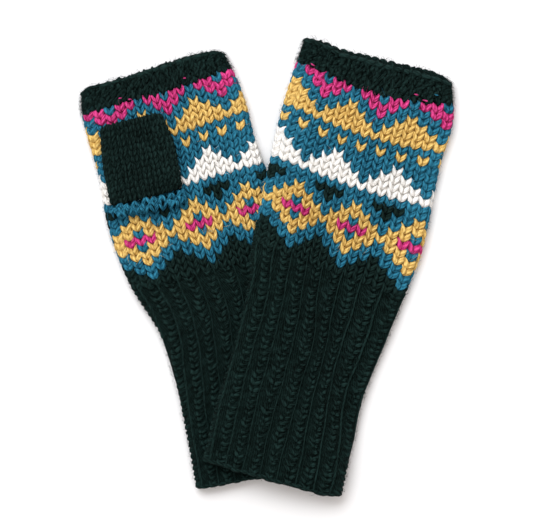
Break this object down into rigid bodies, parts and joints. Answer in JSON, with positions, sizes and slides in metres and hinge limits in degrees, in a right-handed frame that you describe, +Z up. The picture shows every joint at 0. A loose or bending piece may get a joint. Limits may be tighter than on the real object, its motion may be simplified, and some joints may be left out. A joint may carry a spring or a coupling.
{
  "type": "pair of fingerless knitted wrist warmers",
  "caption": "Hand-knitted wool wrist warmers lying flat, with ribbed cuffs, patterned hands, short top bands and a thumb tube on each.",
  "frame": {"origin": "on the surface the pair lies on, under the middle of its bounding box", "axes": "+Z up from the surface, +Y from the cuffs' hems to the top bands, +X to the right seen from above"},
  "size_m": [0.2076, 0.2556, 0.0149],
  "materials": {
    "green_wool": "dark green wool knitted in rib, matt and slightly hairy",
    "patterned_wool": "stranded wool knitting, blue ground with gold, pink, white and dark green motifs, matt and slightly hairy"
  },
  "bodies": {
    "root": {"left_cuff": "green_wool", "left_hand": "patterned_wool", "left_top_band": "green_wool", "left_thumb": "green_wool", "right_cuff": "green_wool", "right_hand": "patterned_wool", "right_top_band": "green_wool", "right_thumb": "green_wool"}
  },
  "joints": []
}
